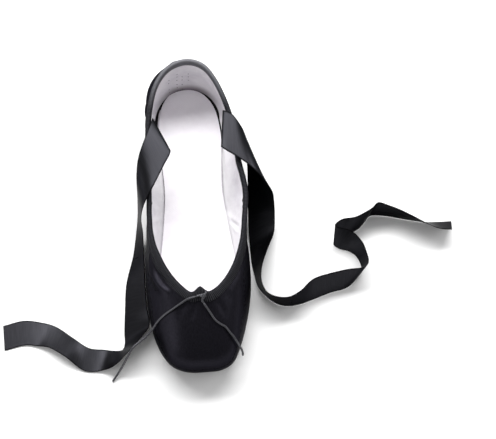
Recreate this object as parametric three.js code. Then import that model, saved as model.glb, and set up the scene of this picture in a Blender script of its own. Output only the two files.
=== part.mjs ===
// A pointe shoe in black satin, standing empty on its sole. Millimetres, +Z up, toe towards -Y.
// The origin is on the floor under the middle of the shoe. The last is straight, so it fits either foot.
import * as THREE from "three";

// Driving dimensions of the last
const LENGTH = 238;
const BALL_WIDTH = 76;
const HEEL_HEIGHT = 52.8;
const INSTEP_HEIGHT = 50;
const ARCH_RISE = 6;
const TOE_SPRING = 4;

// Thickness of each layer, and the gap between two that meet
const GAP = 0.3;
const OUTSOLE_THICK = 1.8;
const INSOLE_THICK = 2;
const WALL = 1.8;
const BOX_WALL = 3.2;
const BINDING_THICK = 0.8;
const BINDING_OUTSIDE = 6;
const BINDING_INSIDE = 5;

// Fineness of the meshes
const STEPS_PER_ROW = 4;
const WALL_STEPS = 14;
const SOLE_STEPS = 60;

// The shoe's sections round half of its edge, from the middle of the toe to the middle of the heel.
// outX, outY: where the wall stands widest, seen from above. topX, topY, topZ: the topline.
// rimIn: how far the wall turns in under the foot. bendIn: where it begins to turn up.
// lowZ: height where it is widest. wallAt, wallZ: where it begins to lean in, as a share of the way to
// the topline and a height. shoulderAt, shoulderZ and slopeAt, slopeZ: two more such places above it.
const COLUMNS = [
  "outX", "outY", "topX", "topY", "topZ", "rimIn", "bendIn", "lowZ",
  "wallAt", "wallZ", "shoulderAt", "shoulderZ", "slopeAt", "slopeZ",
];
const SECTIONS = {
  toeMiddle: [0, -118.5, 0, -73.5, INSTEP_HEIGHT, 17, 5, 9, 0.015, 27, 0.1, 34.5, 0.5, 43.3],
  toeEdge: [11.5, -117.8, 5.2, -72.7, 49.9, 17, 5, 9, 0.015, 26.5, 0.1, 34, 0.5, 43.1],
  toeCorner: [20.8, -113, 10.4, -69.2, 49.5, 16, 5, 9.5, 0.02, 25, 0.12, 33, 0.5, 42.5],
  boxSide: [28.2, -101, 16.3, -63.2, 48.6, 15, 5, 10.5, 0.03, 23, 0.16, 31.8, 0.5, 41.3],
  boxBack: [34.2, -83, 22.8, -54, 47.4, 14, 5, 12, 0.04, 21, 0.22, 30, 0.55, 40],
  ball: [37.5, -60, 28.8, -41.8, 46, 14, 5, 13, 0.06, 20, 0.3, 29.2, 0.62, 38.6],
  ballBack: [BALL_WIDTH / 2, -35, 33.4, -26, 44.4, 16, 6.5, 14, 0.1, 20.5, 0.36, 29, 0.68, 37.2],
  waistFront: [37, -8, 35.6, -5, 43.2, 20, 9, 15, 0.2, 21.5, 0.45, 29, 0.75, 36.4],
  waist: [35.4, 22, 35.2, 22, 42.7, 24, 10.5, 17, 0.3, 23, 0.5, 29.5, 0.75, 36.2],
  waistBack: [34.4, 50, 33.7, 50, 43.4, 21, 8.5, 17, 0.3, 23, 0.5, 30, 0.75, 37],
  heelSide: [33.2, 76, 30.9, 76, 45.4, 17, 6, 16, 0.2, 24, 0.45, 32, 0.75, 39.5],
  heelCorner: [27.8, 99.5, 24.6, 99, 48.4, 15, 4.5, 16, 0.2, 25, 0.45, 34, 0.75, 42],
  heelEdge: [16, 114.2, 14.2, 111.6, 51.2, 15, 4, 16, 0.2, 26, 0.45, 35, 0.75, 44],
  heelMiddle: [0, LENGTH / 2, 0, 115.8, HEEL_HEIGHT, 15, 4, 16, 0.2, 26, 0.45, 36, 0.75, 45],
};

// The outsole's outline from the front of its middle line round to the back, as half widths
const OUTSOLE_OUTLINE = [
  { half: 1, y: -103 },
  { half: 11, y: -101.5 },
  { half: 20, y: -95.5 },
  { half: 26, y: -83 },
  { half: 27.5, y: -64 },
  { half: 26, y: -43 },
  { half: 20.5, y: -20 },
  { half: 14, y: 5 },
  { half: 11.5, y: 27 },
  { half: 13, y: 47 },
  { half: 17, y: 66 },
  { half: 19.5, y: 83 },
  { half: 18.5, y: 97 },
  { half: 12, y: 107 },
  { half: 1, y: 110.5 },
];

// Where the arch and the toe leave the floor
const ARCH_FRONT = -32;
const ARCH_BACK = 66;
const SPRING_FROM = -80;

// The thicker box begins and ends here along the shoe
const BOX_BACK = -62;
const BOX_FRONT = -92;

const COLOURS = {
  satin: { color: 0x141317, roughness: 0.42 },
  grosgrain: { color: 0x2e2e31, roughness: 0.8 },
  board: { color: 0xf2eef2, roughness: 0.7 },
  leather: { color: 0xc9a98c, roughness: 0.75 },
  cord: { color: 0x1b1b1d, roughness: 0.7 },
  ribbon: { color: 0x232327, roughness: 0.5 },
};

const shoe = new THREE.Group();
shoe.name = "pointe_shoe";

function addPiece(name, geometry, colour) {
  const material = new THREE.MeshStandardMaterial({ ...COLOURS[colour], metalness: 0 });
  const mesh = new THREE.Mesh(geometry, material);
  mesh.name = name;
  shoe.add(mesh);
  return mesh;
}

// A smooth step from 0 at one place to 1 at another, either way round.
function easeBetween(value, zeroAt, oneAt) {
  const share = THREE.MathUtils.clamp((value - zeroAt) / (oneAt - zeroAt), 0, 1);
  return share * share * (3 - 2 * share);
}

// Height of the bottom of the shoe over the floor: flat under ball and heel, raised at arch and toe.
function bottomHeight(y) {
  if (y > ARCH_FRONT && y < ARCH_BACK) {
    const share = (y - ARCH_FRONT) / (ARCH_BACK - ARCH_FRONT);
    return ARCH_RISE * Math.sin(Math.PI * share) ** 2;
  }
  if (y < SPRING_FROM) {
    const share = (SPRING_FROM - y) / (SPRING_FROM + LENGTH / 2);
    return TOE_SPRING * share * share;
  }
  return 0;
}

// A closed surface from rings of equally many points, each joined to the next and the last to the first.
function bandGeometry(rings) {
  const count = rings[0].length;
  const positions = rings.flat().flatMap((p) => [p.x, p.y, p.z]);
  const index = [];
  rings.forEach((ring, j) => {
    const next = (j + 1) % rings.length;
    for (let i = 0; i < count; i++) {
      const a = j * count + i;
      const b = j * count + ((i + 1) % count);
      const c = next * count + ((i + 1) % count);
      const d = next * count + i;
      index.push(a, b, c, a, c, d);
    }
  });
  const geometry = new THREE.BufferGeometry();
  geometry.setAttribute("position", new THREE.Float32BufferAttribute(positions, 3));
  geometry.setIndex(index);
  return geometry;
}

// A closed surface through cross sections of equally many points, with a flat fan at each end.
// The second half of each section is split along the other diagonal, so that a thin strip's two
// faces have the same creases and never cross.
function loftGeometry(sections) {
  const count = sections[0].length;
  const last = (sections.length - 1) * count;
  const positions = sections.flat().flatMap((p) => [p.x, p.y, p.z]);
  const index = [];
  for (let j = 0; j < sections.length - 1; j++) {
    for (let i = 0; i < count; i++) {
      const a = j * count + i;
      const b = j * count + ((i + 1) % count);
      if (i < count / 2) {
        index.push(a, b, b + count, a, b + count, a + count);
      } else {
        index.push(a, b, a + count, b, b + count, a + count);
      }
    }
  }
  for (let i = 1; i < count - 1; i++) {
    index.push(0, i + 1, i);
    index.push(last, last + i, last + i + 1);
  }
  const geometry = new THREE.BufferGeometry();
  geometry.setAttribute("position", new THREE.Float32BufferAttribute(positions, 3));
  geometry.setIndex(index);
  return geometry;
}

// Every section as a record with named sizes, then the other half of the shoe as its mirror image.
const halfRing = Object.values(SECTIONS).map((row) =>
  Object.fromEntries(COLUMNS.map((column, i) => [column, row[i]])),
);
const mirrored = halfRing
  .slice(1, -1)
  .reverse()
  .map((row) => ({ ...row, outX: -row.outX, topX: -row.topX }));
const ring = [...halfRing, ...mirrored];
const RING_STEPS = ring.length * STEPS_PER_ROW;

// The way in from the wall towards the middle of the shoe, level with the floor.
function inwardAt(i) {
  const before = ring[(i + ring.length - 1) % ring.length];
  const after = ring[(i + 1) % ring.length];
  return new THREE.Vector3(before.outY - after.outY, after.outX - before.outX, 0).normalize();
}

// The places that the wall's profile passes at one section, from under the foot up to the topline.
function profilePlaces(row, i) {
  const inward = inwardAt(i);
  const out = new THREE.Vector3(row.outX, row.outY, 0);
  const top = new THREE.Vector3(row.topX, row.topY, 0);
  const lift = bottomHeight(row.outY);
  const rim = out.clone().addScaledVector(inward, row.rimIn);
  rim.z = bottomHeight(rim.y) + OUTSOLE_THICK + GAP;
  const bend = out.clone().addScaledVector(inward, row.bendIn);
  bend.z = bottomHeight(bend.y) + OUTSOLE_THICK + 2 * GAP;
  const towardsTop = (share, height, liftShare) =>
    out.clone().lerp(top, share).setZ(height + lift * liftShare);
  return [
    rim,
    bend,
    towardsTop(0, row.lowZ, 0.6),
    towardsTop(row.wallAt, row.wallZ, 0.3),
    towardsTop(row.shoulderAt, row.shoulderZ, 0),
    towardsTop(row.slopeAt, row.slopeZ, 0),
    towardsTop(1, row.topZ, 0),
  ];
}

// Each such place runs round the shoe as a closed curve.
const places = ring.map(profilePlaces);
const levels = places[0].map(
  (_, k) => new THREE.CatmullRomCurve3(places.map((p) => p[k]), true, "centripetal"),
);

// The wall's profile at a share of the way round the shoe.
function profileAt(share) {
  const points = levels.map((level) => level.getPoint(((share % 1) + 1) % 1));
  return new THREE.CatmullRomCurve3(points, false, "centripetal");
}

// The outer surface's place and outward direction, at a share round the shoe and a share up the wall.
const ROUND_STEP = 0.0008;
const UP_STEP = 0.004;
const profiles = new Map();
function cachedProfile(share) {
  const key = share.toFixed(6);
  if (!profiles.has(key)) {
    profiles.set(key, profileAt(share));
  }
  return profiles.get(key);
}
function wallPoint(round, up) {
  const point = cachedProfile(round).getPointAt(THREE.MathUtils.clamp(up, 0, 1));
  point.z = Math.max(point.z, bottomHeight(point.y) + OUTSOLE_THICK + GAP);
  return point;
}
function wallNormal(round, up) {
  const along = wallPoint(round + ROUND_STEP, up).sub(wallPoint(round - ROUND_STEP, up));
  const rise = wallPoint(round, up + UP_STEP).sub(wallPoint(round, up - UP_STEP));
  return along.cross(rise).normalize();
}

// The wall is thicker in the stiffened box, except where it turns in under the foot.
function wallThickness(point, up) {
  const inBox = easeBetween(point.y, BOX_BACK, BOX_FRONT) * easeBetween(up, 0.12, 0.3);
  return WALL + (BOX_WALL - WALL) * inBox;
}
function innerPoint(round, up) {
  const point = wallPoint(round, up);
  return point.clone().addScaledVector(wallNormal(round, up), -wallThickness(point, up));
}

// A ring of points round the shoe from a function of the share of the way round.
function ringOf(place) {
  return Array.from({ length: RING_STEPS }, (_, i) => place(i / RING_STEPS));
}

function makeUpper() {
  const outside = [];
  const inside = [];
  for (let j = 0; j <= WALL_STEPS; j++) {
    const up = j / WALL_STEPS;
    outside.push(ringOf((round) => wallPoint(round, up)));
    inside.unshift(ringOf((round) => innerPoint(round, up)));
  }
  return bandGeometry([...outside, ...inside]);
}

// The binding folds over the topline: down the outside, over the edge and down the inside.
function bindingSection(round) {
  const length = cachedProfile(round).getLength();
  const upAt = (below) => 1 - below / length;
  const outsideAt = (below, off) =>
    wallPoint(round, upAt(below)).addScaledVector(wallNormal(round, upAt(below)), off);
  const insideAt = (below, off) =>
    innerPoint(round, upAt(below)).addScaledVector(wallNormal(round, upAt(below)), -off);
  const rise = wallPoint(round, 1).sub(wallPoint(round, 1 - UP_STEP)).normalize();
  const near = GAP;
  const far = GAP + BINDING_THICK;
  return [
    outsideAt(BINDING_OUTSIDE, far),
    outsideAt(0, far),
    outsideAt(0, 0).addScaledVector(rise, far),
    insideAt(0, 0).addScaledVector(rise, far),
    insideAt(0, far),
    insideAt(BINDING_INSIDE, far),
    insideAt(BINDING_INSIDE, near),
    insideAt(0, near).addScaledVector(rise, near),
    outsideAt(0, near).addScaledVector(rise, near),
    outsideAt(BINDING_OUTSIDE, near),
  ];
}

function makeBinding() {
  const sections = Array.from({ length: RING_STEPS }, (_, i) => bindingSection(i / RING_STEPS));
  return bandGeometry(sections[0].map((_, k) => sections.map((section) => section[k])));
}

// The insole's board lies on the turned-in edge of the upper, and a thinner layer fills the hole inside it.
const INSOLE_IN = 2.8;
const SPINE_SHARE = 0.88;
function makeInsole() {
  const underneath = OUTSOLE_THICK + GAP;
  const boardBottom = underneath + WALL + 2 * GAP;
  const insetRing = (place, height) =>
    ringOf((round) => {
      const point = place(round);
      point.z = bottomHeight(point.y) + height;
      return point;
    });
  const inwardFrom = (level, distance) => (round) => {
    const point = levels[level].getPoint(round);
    const tangent = levels[level].getTangent(round);
    return point.add(new THREE.Vector3(-tangent.y, tangent.x, 0).setLength(distance));
  };
  const spine = (round) => {
    const edge = levels[0].getPoint(round);
    return new THREE.Vector3(0, edge.y * SPINE_SHARE, 0);
  };
  return bandGeometry([
    insetRing(spine, underneath),
    insetRing(inwardFrom(0, GAP), underneath),
    insetRing(inwardFrom(0, GAP), boardBottom),
    insetRing(inwardFrom(1, INSOLE_IN), boardBottom),
    insetRing(inwardFrom(1, INSOLE_IN), boardBottom + INSOLE_THICK),
    insetRing(spine, boardBottom + INSOLE_THICK),
  ]);
}

// The outsole is skived thin at its edge: its section is widest at mid thickness.
const SKIVE = 0.7;
function makeOutsole() {
  const outline = new THREE.CatmullRomCurve3(
    OUTSOLE_OUTLINE.map((row) => new THREE.Vector3(row.half, row.y, 0)),
    false,
    "centripetal",
  );
  const sections = outline.getSpacedPoints(SOLE_STEPS).map(({ x, y }) => {
    const low = bottomHeight(y);
    const narrow = Math.max(x - SKIVE, x / 2);
    return [
      new THREE.Vector3(-narrow, y, low),
      new THREE.Vector3(-x, y, low + OUTSOLE_THICK * 0.6),
      new THREE.Vector3(-narrow, y, low + OUTSOLE_THICK),
      new THREE.Vector3(narrow, y, low + OUTSOLE_THICK),
      new THREE.Vector3(x, y, low + OUTSOLE_THICK * 0.6),
      new THREE.Vector3(narrow, y, low),
    ];
  });
  return loftGeometry(sections);
}

// A cord end is a round tube along the places that it passes.
const CORD_WIDTH = 1.5;
const CORD_SIDES = 8;
const CORD_STEP = 4;
const DRAWSTRING_LEFT = [
  [-4.2, -74.8, 52.4],
  [-10.4, -75.9, 50.8],
  [-15.6, -78, 47.8],
  [-21, -80.4, 44.6],
  [-26.4, -82.2, 39.6],
  [-31.8, -84.3, 31.8],
  [-36.5, -88.5, 25.5],
  [-41.5, -92.6, 22.8],
  [-46.3, -95.7, 21.6],
  [-51, -99.6, 21.2],
  [-55, -104.3, 16.5],
  [-58.5, -108, 9.5],
  [-62.5, -112, 3.5],
  [-67, -117.5, 0.9],
];
const DRAWSTRING_RIGHT = [
  [0.6, -79.2, 51.2],
  [2, -81.4, 50.4],
  [4.4, -84.9, 48.4],
  [8.4, -90.9, 45.9],
  [11.8, -93.4, 44.3],
  [15.4, -95.2, 42.2],
  [17.6, -98, 40.6],
  [20.5, -100.9, 37.8],
  [23, -103.9, 33.6],
  [25.2, -105.9, 27.8],
  [26.9, -107.2, 21],
  [27.4, -108.2, 14.5],
];

function makeCord(places) {
  const path = new THREE.CatmullRomCurve3(places.map((place) => new THREE.Vector3(...place)));
  const corners = Array.from({ length: CORD_SIDES }, (_, i) => {
    const angle = (2 * Math.PI * i) / CORD_SIDES;
    return new THREE.Vector2(Math.cos(angle), Math.sin(angle)).multiplyScalar(CORD_WIDTH / 2);
  });
  const steps = Math.round(path.getLength() / CORD_STEP);
  return new THREE.ExtrudeGeometry(new THREE.Shape(corners), { steps, extrudePath: path });
}

// The knot sits on the binding at the throat, a little wider than it is long.
const KNOT_SIZE = { x: 3.4, y: 2.6, z: 1.7 };
const KNOT_PLACE = [0, -75.4, 53.5];
function makeKnot() {
  const geometry = new THREE.SphereGeometry(1, 12, 8);
  geometry.scale(KNOT_SIZE.x, KNOT_SIZE.y, KNOT_SIZE.z);
  geometry.translate(...KNOT_PLACE);
  return geometry;
}

// Each ribbon by the places of its two edges, a row for every section or fold.
// It is sewn inside the collar, folds over, runs down the outside and lies or stands on the floor.
const RIBBON_THICK = 0.6;
const RIBBON_STEPS_PER_ROW = 2;
const RIBBON_COLUMNS = ["ax", "ay", "az", "bx", "by", "bz"];
const RIBBON_LEFT = [
  [-29.8, 69, 27, -31, 47, 27],
  [-28.6, 70, 37, -29.2, 46, 37],
  [-27.8, 70.5, 46.5, -16, 41, 50],
  [-33, 56, 49.5, -22, 28, 50.5],
  [-39.8, 39, 45.5, -29.5, 14, 49.5],
  [-42, 27, 38, -34.5, 5.5, 48.5],
  [-42.2, 15, 28, -38.6, -3, 46.5],
  [-43, 3, 18, -40.2, -8, 38],
  [-45, -7, 8, -39.6, -14, 28],
  [-48, -21, 1, -39.8, -26, 20],
  [-54, -43, 0.6, -40, -46, 16],
  [-56, -65, 0.45, -39.6, -66, 14],
  [-57, -81, 0.45, -38.4, -80, 12.5],
  [-57, -90, 1.5, -44, -90, 17.5],
  [-59, -94.5, 2, -52.5, -99.5, 19],
  [-65, -94.5, 1, -63.5, -108, 12],
  [-72, -93, 0.45, -73, -109, 3],
  [-83, -91, 0.45, -86, -108.5, 1],
  [-94, -83, 0.45, -100.5, -98, 7],
  [-107, -73, 0.45, -112, -90, 5],
  [-118, -69, 0.45, -120, -87.5, 2],
  [-130, -67, 0.45, -129, -86, 1],
  [-145, -70, 0.45, -144, -89, 0.45],
];
const RIBBON_RIGHT = [
  [29.8, 69, 27, 31, 47, 27],
  [28.4, 71, 37, 29, 46, 37],
  [25, 73, 48.5, 21.5, 42, 49.5],
  [31, 69.5, 49.5, 32, 34, 49],
  [37.5, 60, 47, 41.5, 27, 47],
  [40, 55, 43, 51.5, 16, 44],
  [41, 36, 31, 57.5, 11, 34],
  [40.5, 15, 14, 59.2, 9, 24],
  [39.8, -4, 4, 60, 2, 12],
  [40, -19, 1, 58.5, -11, 9],
  [40.2, -31, 0.45, 51.5, -28.5, 18],
  [41.5, -41, 0.45, 46, -43.5, 20.5],
  [43.5, -51, 0.45, 45, -55, 20.8],
  [49.5, -60, 0.45, 48.5, -63.5, 20.8],
  [57, -66, 0.45, 56, -67.5, 21],
  [65, -68, 0.45, 64, -68, 21],
  [74, -67, 0.45, 72.5, -64, 21],
  [85, -63.5, 0.45, 83, -55, 20],
  [97, -59.5, 0.45, 95, -51.5, 20],
  [108, -57, 0.45, 109, -49, 20],
  [115.5, -52, 0.45, 122.5, -47.5, 19.5],
  [122.5, -42, 0.45, 125, -44.5, 21],
  [119.5, -31.5, 0.45, 124.5, -36, 20.2],
  [114, -27, 0.45, 122.5, -27.5, 18.8],
  [107, -24.5, 0.45, 115.5, -18, 18.5],
  [103.5, -20.5, 0.45, 103.5, -13.5, 20.2],
  [109.5, -16.5, 0.45, 109, -9, 20.2],
  [117, -13, 0.45, 119.5, -7.5, 20],
  [124, -9, 0.45, 126.5, -4.5, 20],
  [129, -4, 0.45, 133, -1, 20.3],
  [133, 0.5, 0.45, 138, 3, 20.5],
  [138.5, 1, 0.45, 145.5, 0.5, 20],
  [146, 0, 0.45, 153.5, -3.5, 20],
  [156, -2.5, 0.45, 161, -8, 19.8],
  [166, -5, 0.45, 167.5, -12.5, 20],
  [176, -7, 0.45, 175, -17, 19],
  [186, -7.5, 0.45, 183, -20, 17.5],
  [196, -7.5, 0.45, 191.5, -21, 17],
];

function makeRibbon(table) {
  const rows = table.map((row) =>
    Object.fromEntries(RIBBON_COLUMNS.map((column, i) => [column, row[i]])),
  );
  const edgeA = new THREE.CatmullRomCurve3(rows.map((row) => new THREE.Vector3(row.ax, row.ay, row.az)));
  const edgeB = new THREE.CatmullRomCurve3(rows.map((row) => new THREE.Vector3(row.bx, row.by, row.bz)));
  const steps = (rows.length - 1) * RIBBON_STEPS_PER_ROW;
  const sections = Array.from({ length: steps + 1 }, (_, i) => {
    const share = i / steps;
    const a = edgeA.getPoint(share);
    const b = edgeB.getPoint(share);
    const along = edgeA.getTangent(share).add(edgeB.getTangent(share));
    const face = b.clone().sub(a).cross(along).setLength(RIBBON_THICK / 2);
    return [
      a.clone().add(face),
      b.clone().add(face),
      b.clone().sub(face),
      a.clone().sub(face),
    ];
  });
  return loftGeometry(sections);
}

addPiece("outsole", makeOutsole(), "leather");
addPiece("insole", makeInsole(), "board");
addPiece("upper", makeUpper(), "satin");
addPiece("binding", makeBinding(), "grosgrain");
addPiece("drawstring_knot", makeKnot(), "cord");
addPiece("drawstring_left", makeCord(DRAWSTRING_LEFT), "cord");
addPiece("drawstring_right", makeCord(DRAWSTRING_RIGHT), "cord");
addPiece("ribbon_left", makeRibbon(RIBBON_LEFT), "ribbon");
addPiece("ribbon_right", makeRibbon(RIBBON_RIGHT), "ribbon");

export default shoe;
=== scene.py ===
"""A pointe shoe in black satin, dressed over its solids: satin and lining, ribbed tape, cord and ribbons."""

import logging
import math
from dataclasses import dataclass, replace
from enum import Enum
from typing import Sequence

import bpy
import numpy as np
from mathutils import Matrix, Vector


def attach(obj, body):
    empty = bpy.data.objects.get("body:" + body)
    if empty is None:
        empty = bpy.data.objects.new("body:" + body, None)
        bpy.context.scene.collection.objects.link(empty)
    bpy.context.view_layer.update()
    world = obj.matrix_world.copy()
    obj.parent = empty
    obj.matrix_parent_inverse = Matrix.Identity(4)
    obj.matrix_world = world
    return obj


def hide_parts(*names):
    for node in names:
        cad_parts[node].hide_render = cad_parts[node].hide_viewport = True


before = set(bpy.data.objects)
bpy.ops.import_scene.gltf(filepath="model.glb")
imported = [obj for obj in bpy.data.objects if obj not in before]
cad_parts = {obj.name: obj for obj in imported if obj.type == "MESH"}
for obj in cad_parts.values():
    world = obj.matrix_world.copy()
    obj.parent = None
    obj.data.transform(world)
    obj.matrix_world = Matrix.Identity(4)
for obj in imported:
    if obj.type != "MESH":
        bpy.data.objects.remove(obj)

LOG = logging.getLogger("pointe_shoe")
BODY = "root"
WAY_MAP = "tape"
MM = 0.001
TUBE_END_SHARE = 0.62
# A wave texture at this scale repeats once a unit
WAVE_SCALE = 2 * math.pi / 20

Row = tuple[float, ...]
Array = np.ndarray
Piece = bpy.types.Object
Tree = bpy.types.NodeTree
Node = bpy.types.Node
Socket = bpy.types.NodeSocket
Feed = Node | Socket


# Small helpers


class Face(Enum):
    """Which face of the shoe's wall is meant."""

    OUTSIDE = "satin side"
    LINING = "lining side"
    BOTH = "whole wall"


class Side(Enum):
    """Which side of the shoe, seen by its wearer."""

    LEFT = -1
    RIGHT = 1


def linear(hex_colour: str) -> tuple[float, float, float, float]:
    """Turn an sRGB hex value into a linear colour.

    Args:
        hex_colour: The value, such as "#c9a98c".

    Returns:
        Linear red, green, blue and alpha.
    """
    parts = [int(hex_colour[i:i + 2], 16) / 255 for i in (1, 3, 5)]
    red, green, blue = [p / 12.92 if p <= 0.04045 else ((p + 0.055) / 1.055) ** 2.4 for p in parts]
    return red, green, blue, 1.0


def select_only(piece: Piece) -> None:
    """Make one object the only selected one, and the active one.

    Args:
        piece: The object.
    """
    bpy.ops.object.select_all(action="DESELECT")
    piece.select_set(True)
    bpy.context.view_layer.objects.active = piece


def places_of(piece: Piece) -> Array:
    """Read the places of a mesh's corners.

    Args:
        piece: The mesh.

    Returns:
        One row for each corner, in metres.
    """
    flat = np.empty(len(piece.data.vertices) * 3)
    piece.data.vertices.foreach_get("co", flat)
    return flat.reshape(-1, 3)


def move_to(piece: Piece, places: Array) -> None:
    """Put a mesh's corners at new places, in metres."""
    piece.data.vertices.foreach_set("co", places.astype(np.float32).ravel())
    piece.data.update()


def outward_of(piece: Piece) -> Array:
    """Read in which direction the surface faces at each corner.

    Args:
        piece: The mesh.

    Returns:
        One row for each corner, at length one.
    """
    flat = np.empty(len(piece.data.vertices) * 3, dtype=np.float32)
    piece.data.vertex_normals.foreach_get("vector", flat)
    return flat.reshape(-1, 3).astype(float)


def add_object(name: str, data: bpy.types.ID) -> Piece:
    """Put data into the scene as a new object at the origin.

    Args:
        name: The object's name.
        data: A mesh, or a lamp's or a camera's data.

    Returns:
        The new object.
    """
    made = bpy.data.objects.new(name, data)
    bpy.context.scene.collection.objects.link(made)
    return made


def mesh_piece(name: str, places: Array, faces: Sequence[Sequence[int]]) -> Piece:
    """Make a mesh object from places in metres and faces.

    Args:
        name: The piece's name.
        places: One row for each corner.
        faces: Corner numbers of each face, counter-clockwise seen from outside.

    Returns:
        The new object, at the origin.
    """
    mesh = bpy.data.meshes.new(name)
    mesh.from_pydata(np.asarray(places).tolist(), [], [list(face) for face in faces])
    mesh.update()
    return add_object(name, mesh)


def apply_modifier(piece: Piece, kind: str, **settings: object) -> None:
    """Add a modifier with its settings and apply it.

    Args:
        piece: The piece it changes.
        kind: Its type.
        **settings: Its properties.
    """
    select_only(piece)
    modifier = piece.modifiers.new(kind.lower(), kind)
    for key, value in settings.items():
        setattr(modifier, key, value)
    bpy.ops.object.modifier_apply(modifier=modifier.name)


def copy_of_node(node: str, name: str) -> Piece:
    """Copy a CAD node's mesh into a new object, merged and with its triangles joined to quads.

    Args:
        node: The CAD node's name.
        name: The new piece's name.

    Returns:
        The new object, at the origin, with no material.
    """
    piece = add_object(name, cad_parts[node].data.copy())
    piece.data.materials.clear()
    select_only(piece)
    if piece.data.has_custom_normals:
        bpy.ops.mesh.customdata_custom_splitnormals_clear()
    bpy.ops.object.mode_set(mode="EDIT")
    bpy.ops.mesh.select_all(action="SELECT")
    bpy.ops.mesh.remove_doubles(threshold=0.02 * MM)
    bpy.ops.mesh.tris_convert_to_quads(face_threshold=math.radians(60), shape_threshold=math.radians(60))
    bpy.ops.object.mode_set(mode="OBJECT")
    return piece


def smooth_shading(piece: Piece, angle: float = 180.0) -> None:
    """Shade a piece smooth, but for edges sharper than an angle.

    Args:
        piece: The piece.
        angle: The angle, in degrees.
    """
    select_only(piece)
    if angle >= 180:
        bpy.ops.object.shade_smooth()
    else:
        bpy.ops.object.shade_smooth_by_angle(angle=math.radians(angle))


def curve_at(points: Array, at: Array, closed: bool = False) -> Array:
    """Places on the smooth centripetal curve through points.

    Args:
        points: The points that the curve passes.
        at: Where along it, counted in points from the first, which is 0.
        closed: Whether the curve returns to its first point.

    Returns:
        One place for each value of at.
    """
    count = len(points)
    if closed:
        whole = np.floor(at).astype(int)
        p0, p1, p2, p3 = (points[(whole + k) % count] for k in (-1, 0, 1, 2))
    else:
        whole = np.clip(np.floor(at).astype(int), 0, count - 2)
        longer = np.vstack([2 * points[0] - points[1], points, 2 * points[-1] - points[-2]])
        p0, p1, p2, p3 = (longer[whole + k] for k in (0, 1, 2, 3))
    share = (at - whole)[:, None]

    def knot_step(a: Array, b: Array) -> Array:
        """The root of the distance from a to b."""
        return np.sqrt(np.maximum(np.linalg.norm(b - a, axis=1), 1e-9))[:, None]

    d0, d1, d2 = knot_step(p0, p1), knot_step(p1, p2), knot_step(p2, p3)
    t1 = ((p1 - p0) / d0 - (p2 - p0) / (d0 + d1) + (p2 - p1) / d1) * d1
    t2 = ((p2 - p1) / d1 - (p3 - p1) / (d1 + d2) + (p3 - p2) / d2) * d1
    square = -3 * p1 + 3 * p2 - 2 * t1 - t2
    cube = 2 * p1 - 2 * p2 + t1 + t2
    return ((cube * share + square) * share + t1) * share + p1


def drawn_curve(points: Sequence[Row], steps: int, closed: bool = False) -> Array:
    """Draw the smooth curve through points.

    Args:
        points: The points, in millimetres.
        steps: How many places each stretch between two points gets.
        closed: Whether the curve returns to its first point.

    Returns:
        The places, in metres.
    """
    table = np.array(points, float) * MM
    stretches = len(table) if closed else len(table) - 1
    at = np.arange(stretches * steps + (0 if closed else 1)) / steps
    return curve_at(table, at, closed)


def length_along(path: Array) -> Array:
    """How far along a path each of its points lies."""
    return np.concatenate([[0], np.cumsum(np.linalg.norm(np.diff(path, axis=0), axis=1))])


def evenly(path: Array, spacing: float) -> Array:
    """Space places along a path at about one distance, ends included.

    Args:
        path: The path, in metres.
        spacing: The distance, in metres.

    Returns:
        The places, in metres.
    """
    along = length_along(path)
    count = max(2, round(along[-1] / spacing) + 1)
    wanted = np.linspace(0, along[-1], count)
    return np.stack([np.interp(wanted, along, path[:, k]) for k in range(3)], axis=1)


def unit(vectors: Array) -> Array:
    """Each row at length one."""
    return vectors / np.maximum(np.linalg.norm(vectors, axis=-1, keepdims=True), 1e-12)


def output_of(feed: Feed) -> Socket:
    """The socket itself, or a node's first output."""
    return feed.outputs[0] if isinstance(feed, Node) else feed


def add_node(
    tree: Tree, kind: str, inputs: dict[str | int, object] | None = None, **settings: object,
) -> Node:
    """Add one node with its settings and its inputs.

    Args:
        tree: The material's node tree.
        kind: The node's type, without the words that every shader node's type starts with.
        inputs: For each input, a value, the socket that feeds it, or the node whose first output does.
        **settings: Properties of the node.

    Returns:
        The new node.
    """
    node = tree.nodes.new("ShaderNode" + kind)
    for key, value in settings.items():
        setattr(node, key, value)
    for key, value in (inputs or {}).items():
        if isinstance(value, Feed):
            tree.links.new(output_of(value), node.inputs[key])
        else:
            node.inputs[key].default_value = value
    return node


# Finishes


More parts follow.
